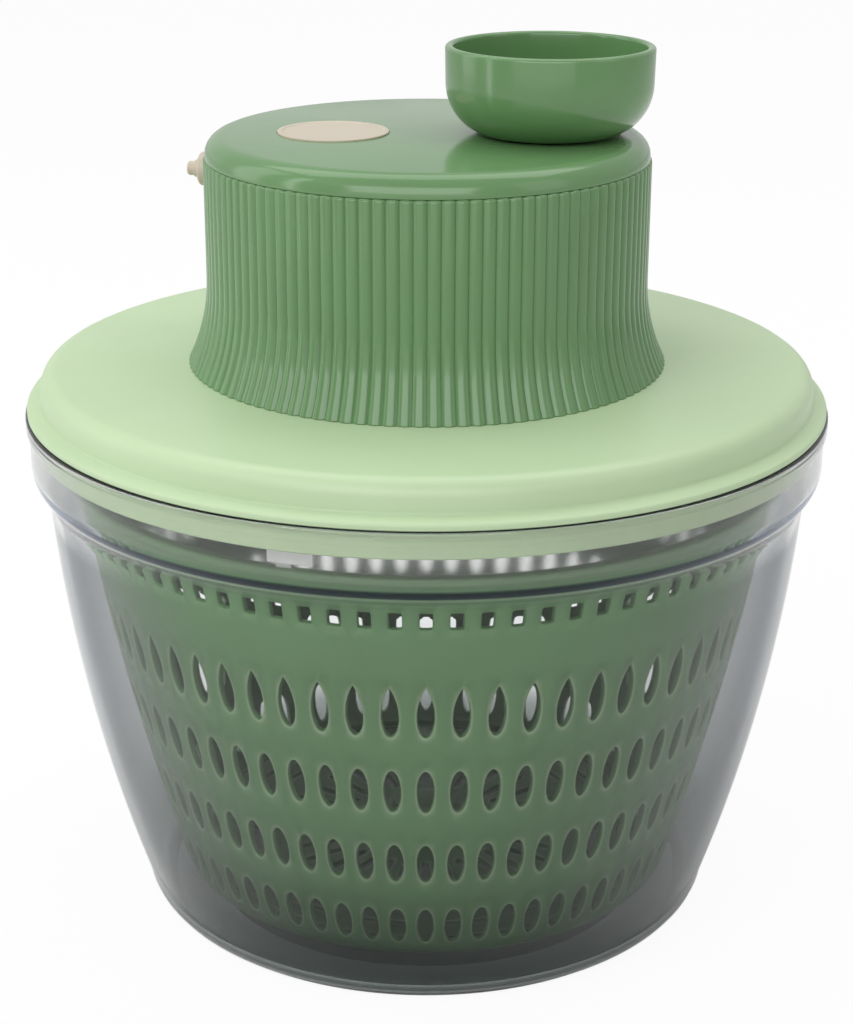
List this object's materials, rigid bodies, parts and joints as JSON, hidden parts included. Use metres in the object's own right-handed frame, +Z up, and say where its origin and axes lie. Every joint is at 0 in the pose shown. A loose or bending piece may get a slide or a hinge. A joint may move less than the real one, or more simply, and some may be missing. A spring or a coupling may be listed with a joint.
{
  "type": "salad spinner",
  "caption": "Round salad spinner with a clear bowl, a perforated basket, and a lid whose ribbed gear housing carries a crank cap with a cup knob and a side brake button.",
  "frame": {"origin": "centre of the bowl's base, on the surface it stands on", "axes": "+Z up along the spin axis, -Y towards the front of the picture, +X towards the crank knob"},
  "size_m": [0.24, 0.24, 0.2624],
  "materials": {
    "clear_plastic": "clear polished styrene plastic",
    "basket_plastic": "satin moulded",
    "lid_plastic": "satin moulded",
    "green_plastic": "glossy satin moulded",
    "cream_plastic": "smooth",
    "white_plastic": "acetal, smooth",
    "steel": "plated",
    "rubber_pad": "matt"
  },
  "bodies": {
    "bowl": {"bowl": "clear_plastic"},
    "lid": {"lid": "lid_plastic", "gear_housing": "green_plastic", "gear_carrier": "white_plastic", "idler_pins": "steel", "idler_clips": "steel", "upper_bush": "white_plastic", "lower_bush": "white_plastic", "housing_screws": "steel", "carrier_screws": "steel", "brake_bezel": "cream_plastic", "brake_spring": "steel"},
    "basket_pivot": {"basket_bearing": "basket_plastic", "bearing_retainer": "basket_plastic"},
    "basket": {"basket": "basket_plastic"},
    "drive": {"drive_shaft": "steel", "sun_gear": "white_plastic", "sun_screw": "steel", "drive_plate": "white_plastic", "drive_washer": "steel", "drive_screw": "steel"},
    "idler_1": {"idler_gear_1": "white_plastic"},
    "idler_2": {"idler_gear_2": "white_plastic"},
    "idler_3": {"idler_gear_3": "white_plastic"},
    "crank": {"crank_cap": "green_plastic", "ring_gear": "white_plastic", "ring_screws": "steel", "medallion": "cream_plastic", "knob_pin": "steel", "knob_washer": "steel", "knob_screw": "steel"},
    "knob": {"knob_cup": "green_plastic"},
    "brake": {"brake_button": "cream_plastic", "brake_shoe": "rubber_pad"}
  },
  "joints": [
    {"name": "lid_lift", "type": "slide", "parent": "bowl", "child": "lid", "axis": [0, 0, 1], "range_m": [0, 0.32]},
    {"name": "basket_lift", "type": "slide", "parent": "bowl", "child": "basket_pivot", "axis": [0, 0, 1], "range_m": [0, 0.16]},
    {"name": "basket_spin", "type": "hinge", "parent": "basket_pivot", "child": "basket", "pos_m": [0, 0, 0.0105], "axis": [0, 0, 1], "continuous": true},
    {"name": "drive_spin", "type": "hinge", "parent": "lid", "child": "drive", "pos_m": [0, 0, 0.16], "axis": [0, 0, 1], "continuous": true},
    {"name": "idler_1_spin", "type": "hinge", "parent": "lid", "child": "idler_1", "pos_m": [0, 0.03375, 0.216], "axis": [0, 0, 1], "continuous": true},
    {"name": "idler_2_spin", "type": "hinge", "parent": "lid", "child": "idler_2", "pos_m": [-0.02923, -0.01688, 0.216], "axis": [0, 0, 1], "continuous": true},
    {"name": "idler_3_spin", "type": "hinge", "parent": "lid", "child": "idler_3", "pos_m": [0.02923, -0.01688, 0.216], "axis": [0, 0, 1], "continuous": true},
    {"name": "crank_spin", "type": "hinge", "parent": "lid", "child": "crank", "pos_m": [0, 0, 0.235], "axis": [0, 0, 1], "continuous": true},
    {"name": "knob_spin", "type": "hinge", "parent": "crank", "child": "knob", "pos_m": [0.0352, 0, 0.24], "axis": [0, 0, 1], "continuous": true},
    {"name": "brake_press", "type": "slide", "parent": "lid", "child": "brake", "axis": [0.9781, -0.2079, 0], "range_m": [0, 0.0012], "stiffness_N_per_m": 400, "springref_m": -0.002, "deforming": ["brake_spring"]}
  ],
  "couplings": [
    {"joint": "basket_lift", "follows": "lid_lift", "ratio": 0.5},
    {"joint": "drive_spin", "follows": "basket_spin", "ratio": 1},
    {"joint": "idler_1_spin", "follows": "basket_spin", "ratio": -0.66667},
    {"joint": "idler_2_spin", "follows": "basket_spin", "ratio": -0.66667},
    {"joint": "idler_3_spin", "follows": "basket_spin", "ratio": -0.66667},
    {"joint": "crank_spin", "follows": "basket_spin", "ratio": -0.25}
  ]
}
